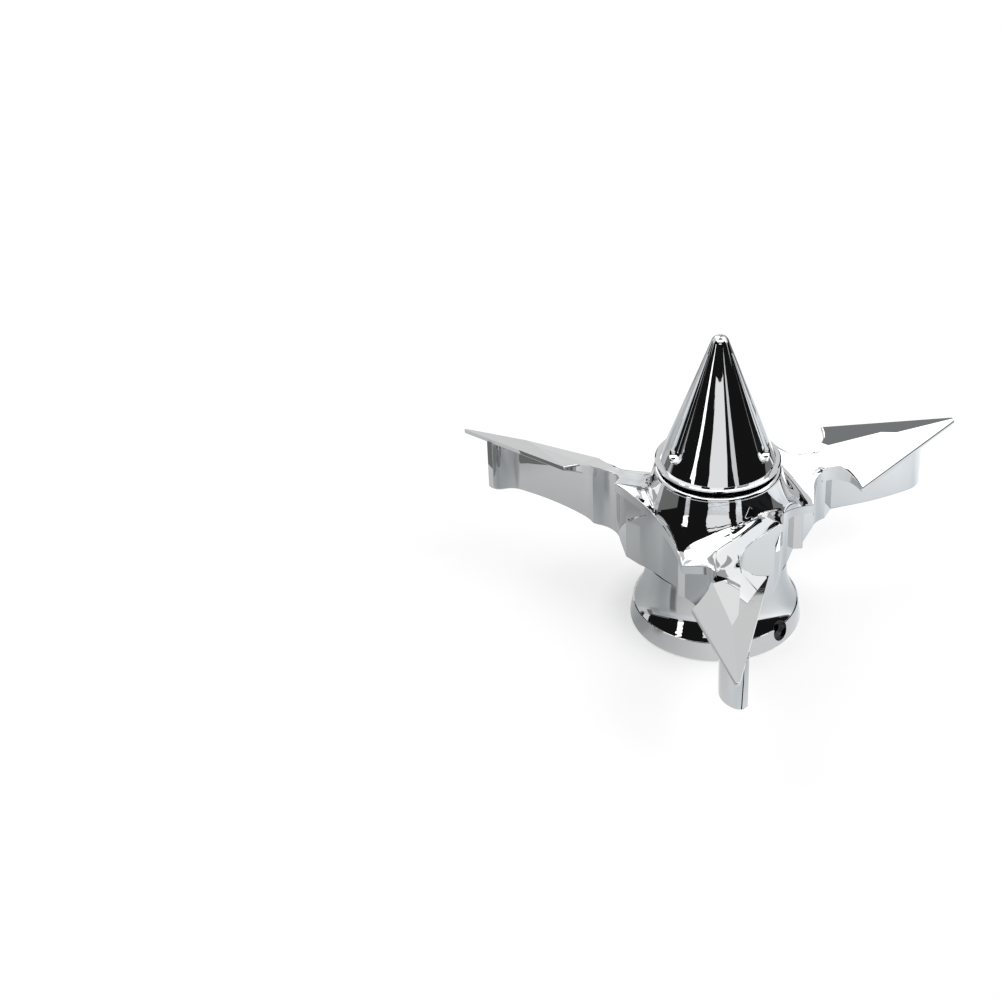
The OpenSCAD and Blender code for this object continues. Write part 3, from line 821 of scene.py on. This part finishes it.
def painted_floor_reflection(tree, at, turn, far, dark):
    """The floor's colour in reflections, painted with patches of light and shade and with painted
    shade, with the share that is black given.
    """
    # painted patches of shade and light, which show only in reflections
    shade_patches = noise(tree, at, scale=11, detail=1.5)
    shade_patch_tone = ramp(tree, shade_patches, [(0.30, PAINTED_SHADE_PATCH), (0.48, PAINTED_PALE_PATCH), (0.66, WHITE)])
    # painted shade by the turn round the axis
    side = ramp(tree, turn, PAINTED_SIDE_SHADE)
    # a painted half-dark band
    side = dimmed(tree, side, turn, far, SHADE_BAND_TURN, SHADE_BAND_RADIUS)
    # a painted dark line, which the cup shows as a painted dark reflection
    side = dimmed(tree, side, turn, far, PAINTED_LINE_TURN, PAINTED_LINE_RADIUS)
    toned = add(tree, "ShaderNodeVectorMath", operation="MULTIPLY")
    tree.links.new(shade_patch_tone, toned.inputs[0])
    # painted shadow close to the foot
    tree.links.new(times(tree, side, ramp(tree, far, PAINTED_FOOT_SHADOW)), toned.inputs[1])
    shut = add(tree, "ShaderNodeVectorMath", operation="SCALE")
    tree.links.new(toned.outputs[0], shut.inputs[0])
    tree.links.new(minus(tree, 1.0, times(tree, dark, SHADE_DEPTH)), shut.inputs["Scale"])
    return shut.outputs[0]


def floor_material():
    """Plain pale floor with the cover's shadow to the camera, and painted tones and painted shade in
    reflections.
    """
    m, t = empty_material("pale_floor")
    path = add(t, "ShaderNodeLightPath")
    seen = path.outputs["Is Camera Ray"]
    at = object_place(t)
    x, y, _ = split(t, at)
    turn = turn_share(t, x, y)
    away = add(t, "ShaderNodeVectorMath", operation="LENGTH")
    t.links.new(at, away.inputs[0])
    far = away.outputs["Value"]

    behind = ramp(t, turn, [(d / 360, 1.0 if h > SHADE_CLOTH else 0.0) for d, h in CLOTH], "CONSTANT")
    # painted shade in reflections beyond the high cloth
    shade = times(t, behind, above(t, far, SHADE_R))
    # a painted black streak, seen only in reflections
    streak = times(t, within(t, turn, STREAK_AT, STREAK_REACH), above(t, far, STREAK_R))
    # the floor's painted reflection, with its painted shade, seen only in reflections
    tone = painted_floor_reflection(t, at, turn, far, maths(t, "MAXIMUM", shade, streak))

    glow = add(t, "ShaderNodeEmission")
    lit = add(t, "ShaderNodeMix", data_type="RGBA")
    t.links.new(seen, lit.inputs["Factor"])
    t.links.new(tone, lit.inputs[6])
    lit.inputs[7].default_value = WHITE
    t.links.new(lit.outputs[2], glow.inputs["Color"])
    strength = minus(t, GLOW_MIRRORED, times(t, seen, GLOW_MIRRORED - GLOW_SEEN))
    t.links.new(strength, glow.inputs["Strength"])

    matte = add(t, "ShaderNodeBsdfDiffuse")
    matte.inputs["Color"].default_value = FLOOR_MATTE
    mirrored = maths(t, "MAXIMUM", path.outputs["Is Glossy Ray"], path.outputs["Is Transmission Ray"])
    front = times(t, shade, above(t, turn, SHADE_FRONT))
    glow_share = plus(t, GLOW_SHARE, times(t, front, 1 - GLOW_SHARE))
    share = plus(t, times(t, seen, ramp(t, far, SEEN_SHARE)), times(t, mirrored, glow_share))
    mix_shaders(t, share, matte, glow)
    return m


floor = plane_at("floor", (0, 0, 0), (0, 0, 1), FLOOR_SIZE, FLOOR_SIZE)
# the tracked turn would swing the floor's tones round, so it lies unturned
floor.matrix_world = Matrix.Identity(4)
floor.data.materials.append(floor_material())


# Soft light

# strength of the white world as a light; it is seen and mirrored at full strength
WORLD_LIGHT = 0.65


def white_world():
    world = bpy.data.worlds.new("studio")
    bpy.context.scene.world = world
    world.use_nodes = True
    t = world.node_tree
    t.nodes.clear()
    path = add(t, "ShaderNodeLightPath")
    seen = maths(t, "MAXIMUM", path.outputs["Is Camera Ray"], path.outputs["Is Glossy Ray"])
    seen = maths(t, "MAXIMUM", seen, path.outputs["Is Transmission Ray"])
    sky = add(t, "ShaderNodeBackground")
    sky.inputs["Color"].default_value = WHITE
    t.links.new(plus(t, times(t, seen, 1 - WORLD_LIGHT), WORLD_LIGHT), sky.inputs["Strength"])
    t.links.new(sky.outputs[0], add(t, "ShaderNodeOutputWorld").inputs[0])


def lamp(name, at, size, watts):
    """A square lamp that shines on the cover's foot and isn't seen or mirrored."""
    data = bpy.data.lights.new(name, "AREA")
    data.shape = "RECTANGLE"
    data.size = size
    data.size_y = size
    data.energy = watts
    obj = bpy.data.objects.new(name, data)
    bpy.context.scene.collection.objects.link(obj)
    way = -Vector(at)
    obj.matrix_world = Matrix.Translation(at) @ way.to_track_quat("-Z", "Y").to_matrix().to_4x4()
    obj.visible_glossy = False
    obj.visible_camera = False


white_world()
lamp("key", (0.7, -0.3, 0.9), size=0.7, watts=9)
lamp("fill", (-0.6, 0.5, 1.0), size=0.8, watts=6)


# Camera

def photo_camera():
    data = bpy.data.cameras.new("camera")
    data.lens = CAMERA_LENS
    data.sensor_width = CAMERA_SENSOR
    data.sensor_fit = "AUTO"
    camera = bpy.data.objects.new("camera", data)
    bpy.context.scene.collection.objects.link(camera)
    right, up, back = Vector(CAMERA_RIGHT), -Vector(CAMERA_DOWN), -Vector(CAMERA_AHEAD)
    turn = Matrix((right, up, back)).transposed().to_4x4()
    camera.matrix_world = Matrix.Translation(CAMERA_AT) @ turn
    bpy.context.scene.camera = camera


photo_camera()
bpy.context.scene.view_settings.view_transform = "Standard"
